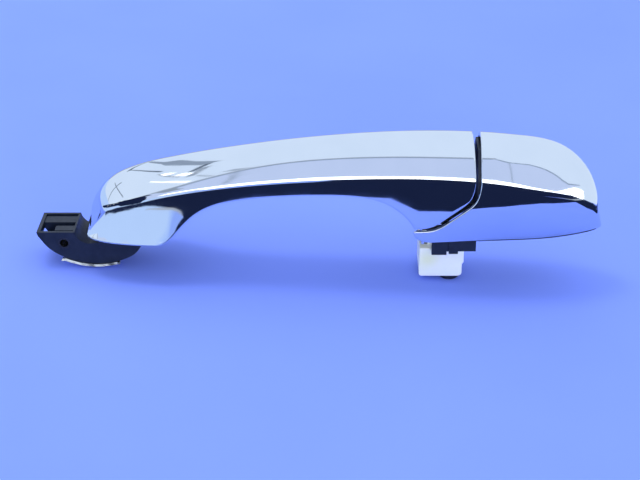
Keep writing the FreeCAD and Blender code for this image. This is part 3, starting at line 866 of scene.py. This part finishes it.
# The pale crown mirrors the ceiling, and the lavender band below the crease mirrors the wall. The grey line
# between them is the cornice, which runs down to the right.
reflection_card("ceiling_card", overhead(rectangle(-4500, -1220, 4500, 6000)), CEILING, lights=True)
reflection_card("wall_card", on_wall(rectangle(-4500, -60, 3700, 1215)), WALL_TONE, lights=True)
reflection_card("cornice_card", on_wall(rectangle(-4500, 1185, 560, 1240), 10), (0.36, 0.44, 0.60))
ceiling_edge = [(600, 1260), (660, 1180), (715, 1090), (950, 1000), (1430, 725), (1900, 490), (2250, 380),
                (3600, 260)]
reflection_card("side_ceiling_card", on_wall(ceiling_edge + [(SIDE_X, 260), (SIDE_X, 1260)], 20), CEILING)
below_edge = [(x - 26, z - 22) for x, z in reversed(ceiling_edge)]
reflection_card("side_cornice_card", on_wall(ceiling_edge + below_edge, 25), (0.30, 0.38, 0.52))

# The front foot mirrors a window that fades towards the right.
window = [(-4500, -60), (-140, -60), (-140, 260), (-620, 270), (-1000, 480), (-1500, 560), (-2600, 1000),
          (-4500, 1190)]
reflection_card("window_card", on_wall(window, 10), WINDOW, lights=True)
FADE_START, FADE_STEP, FADE_END = -140, 13, -20
fade = [(0.52, 0.71, 1.15), (0.46, 0.64, 1.14), (0.40, 0.57, 1.13), (0.34, 0.50, 1.12)]
for step, tone in enumerate(fade, start=1):
    start = FADE_START + FADE_STEP * (step - 1)
    stop = start + FADE_STEP if step < len(fade) else FADE_END
    reflection_card(f"fade_card_{step}", on_wall(rectangle(start, -60, stop, 260), 10), tone)

# A long strip light on the wall, over its dark base, makes the white line above the dark band.
dark_base = [(-20, -60), (-20, 232), (1500, 230), (2318, 166), (2722, 78), (3300, -60)]
reflection_card("low_wall_card", on_wall(dark_base, 10), DARK)
tail_wall = [(2722, 262), (3514, 150), (SIDE_X, 0), (SIDE_X, 262)]
reflection_card("tail_wall_card", on_wall(tail_wall, 10), CEILING)
strip_low = [(-120, 230), (1500, 230), (2318, 166), (2722, 78), (3514, -109), (SIDE_X, -200)]
strip_high = [(SIDE_X, 0), (3514, 150), (2722, 262), (1500, 330), (900, 400), (500, 560), (-300, 600),
              (-300, 430), (-120, 430)]
reflection_card("strip_card", on_wall(strip_low + strip_high, 15), (0.95, 0.98, 1.05), 3.0)

# The dark band itself mirrors the room beyond the front edge of the paper. These cards lie just over the
# floor, all but the wall at the right end.
front_edge = [(-45, -11), (-22, -34), (-8, -66), (20, -120), (60, -222), (128, -218), (149, -137),
              (170, -110), (188, -118), (204, -126), (226, -152), (294, -198), (420, -231), (550, -270)]
left_edge = [(-86, -852), (-74, -626), (-80, -527), (-100, -344), (-162, -314), (-260, -345), (-420, -430),
             (-127, -150), (-127, 8)]
dark_floor = [(-29, -1300), (-29, -852)] + left_edge + front_edge + [(2700, -850), (2700, -1300)]
reflection_card("dark_card", on_floor(dark_floor, 1.5), DARK)
reflection_card("grey_card", on_floor(rectangle(-165, -1300, -30, -852), 1.5), GREY)
reflection_card("left_floor_card", on_floor(rectangle(-2500, -1300, -60, -300), 1.2), WINDOW)
tail_line = [(296, 66), (300, 72), (320, 60), (459, 21), (921, -152), (2700, -790), (2700, -1690),
             (834, -378), (517, -151), (411, -65), (376, -3)]
reflection_card("tail_line_card", on_floor(tail_line, 1.8), DARK)
right_floor = [(290, 90), (320, 64), (459, 25), (921, -148), (2700, -760), (2700, 1800), (300, 400)]
reflection_card("right_floor_card", on_floor(right_floor, 1.5), CEILING)
reflection_card("right_wall_card", across(SIDE_X, rectangle(-1300, -250, 6000, 1250)), CEILING)

# Dark things around the front tip, with a few bright dots among them.
left_shape = [(-150, -11), (13, -11), (13, 9), (-67, 16), (-155, 10)]
reflection_card("left_card", across(-130, left_shape), DARK)
nose_shape = [(-75, 33), (-59, 28), (-36, 23.5), (-11, 17.5), (-5, 16.5), (-5, 18.5), (-11, 22.8), (-37, 42),
              (-59, 66), (-80, 84)]
reflection_card("nose_card", across(-40, nose_shape), DARK)
wedge = [(-60, 44), (-40, 31), (-20, 17), (5, 13.8), (16, 15.5), (18, 30), (12, 50), (5, 61), (-13, 62),
         (-42, 65), (-70, 68)]
reflection_card("crease_card", [(x, -60, z) for x, z in wedge], DARK)
glints = [(-21, 24, 2.2), (-37, 34, 2.6), (-45, 41, 2.2), (-27, 29, 1.6), (-50, 55, 2.6), (-16, 18, 1.4)]
for number, (y, z, side) in enumerate(glints, start=1):
    reflection_card(f"glint_card_{number}", across(-39, rectangle(y, z, y + side, z + side)), LAMP, 1.2)
# A dark corner high up on the wall, and the wall at the left end.
corner_shape = [(-540, 1035), (-590, 1120), (-660, 1185), (-1047, 1248), (-1760, 1285), (-1640, 1225),
                (-1412, 1010), (-980, 1090), (-700, 1060)]
reflection_card("corner_card", on_wall(corner_shape, 30), DARK)
reflection_card("side_wall_card", across(-SIDE_X, rectangle(-1300, 0, 6000, 1250)), WINDOW)

# Beams and lamps under the ceiling, and thin lines on the wall, show on the crown's front and on the cap.
ribbon("beam_1", [(-485, -190), (-655, 264), (-1250, 1808)], 30, BEAM)
ribbon("beam_2", [(-325, -360), (-404, -17), (-507, 582), (-1480, 4266)], 60, (0.34, 0.41, 0.52))
ribbon("beam_3", [(-1480, 4100), (-1120, 1328)], 120, BEAM)
ribbon("beam_4", [(-1225, 60), (-2300, -90), (-4368, -380)], 60, BEAM)
ribbon("beam_5", [(-330, -360), (-350, -480), (-385, -640)], 26, BEAM)
ribbon("beam_6", [(-1700, 500), (-1500, -900)], 60, BEAM)
ribbon("beam_7", [(-385, -881), (-358, -711), (-336, -543)], 36, (0.40, 0.46, 0.56))
ribbon("beam_8", [(-279, -1067), (-252, -1194)], 26, (0.44, 0.51, 0.64))
ribbon("beam_9", [(-360, -926), (-312, -1184)], 14, (0.50, 0.57, 0.68))
ribbon("lamp_1", [(-478, -367), (-452, -483)], 36, LAMP, 2.6)
ribbon("lamp_2", [(-424, -613), (-389, -759)], 36, LAMP, 2.6)
ribbon("lamp_3", [(-580, -600), (-464, -871), (-389, -1158)], 20, LAMP, 2.0)
ribbon("lamp_shade_1", [(-510, -300), (-420, -760)], 14, (0.40, 0.46, 0.55), drop=12)
cap_line = [(620, 560), (632, 560), (722, 1110), (710, 1110)]
reflection_card("corner_line_card", on_wall(cap_line, 18), (0.45, 0.53, 0.70))
pull_line = [(-178, 811), (-167, 811), (-199, 964), (-260, 1195), (-274, 1195), (-210, 964)]
reflection_card("wall_line_card", on_wall(pull_line, 18), (0.42, 0.50, 0.66))
vent = [(-600, 1215), (-460, 1215), (-350, 1030), (-450, 1030)]
reflection_card("vent_card", on_wall(vent, 17), (0.36, 0.42, 0.50))

# ---------------------------------------------------------------- lights and camera


def soft_light(name, place, aim, breadth, power, colour=(1, 1, 1)):
    """Round lamp that the chrome doesn't mirror."""
    light = bpy.data.lights.new(name, "AREA")
    light.shape = "DISK"
    light.size = breadth * MM
    light.energy = power
    light.color = colour
    made = add_object(name, light)
    made.location = (Vector(place) + SHIFT) * MM
    made.rotation_mode = "QUATERNION"
    made.rotation_quaternion = ((Vector(aim) - Vector(place)) * MM).to_track_quat("-Z", "Y")
    made.visible_camera = False
    made.visible_glossy = False


world = bpy.data.worlds.new("studio")
bpy.context.scene.world = world
world.use_nodes = True
background = world.node_tree.nodes["Background"]
background.inputs["Color"].default_value = (0.80, 0.88, 1.0, 1)
background.inputs["Strength"].default_value = 0.55
soft_light("key", (-170, 140, 1000), (110, 0, 0), 300, 2.4)
soft_light("sky", (110, 300, 1150), (110, 0, 0), 2400, 10.0, (0.95, 1.0, 1.0))
soft_light("fill", (150, -900, 260), (110, 0, -10), 500, 2.7)

CAMERA_RISE = math.radians(28.0)
CAMERA_REACH = 620.0            # from the camera to the point it is aimed at
VIEW_BREADTH = 281.6            # what the picture takes in from side to side, at that point
AIM = Vector((116.0, 0.0, 12.0))
AIM_RIGHT, AIM_UP = 11.0, 17.38     # how far right of the picture's middle and above it that point is
camera_data = bpy.data.cameras.new("camera")
camera_data.sensor_width = 36.0
camera_data.lens = CAMERA_REACH / VIEW_BREADTH * camera_data.sensor_width
camera_data.shift_x = -AIM_RIGHT / VIEW_BREADTH
camera_data.shift_y = -AIM_UP / VIEW_BREADTH
camera_data.clip_start, camera_data.clip_end = 0.01, 50
camera = add_object("camera", camera_data)
back = Vector((0, -math.cos(CAMERA_RISE), math.sin(CAMERA_RISE)))
camera.location = (AIM + SHIFT + back * CAMERA_REACH) * MM
camera.rotation_mode = "QUATERNION"
camera.rotation_quaternion = (-back).to_track_quat("-Z", "Y")
bpy.context.scene.camera = camera
bpy.context.scene.view_settings.view_transform = "Standard"
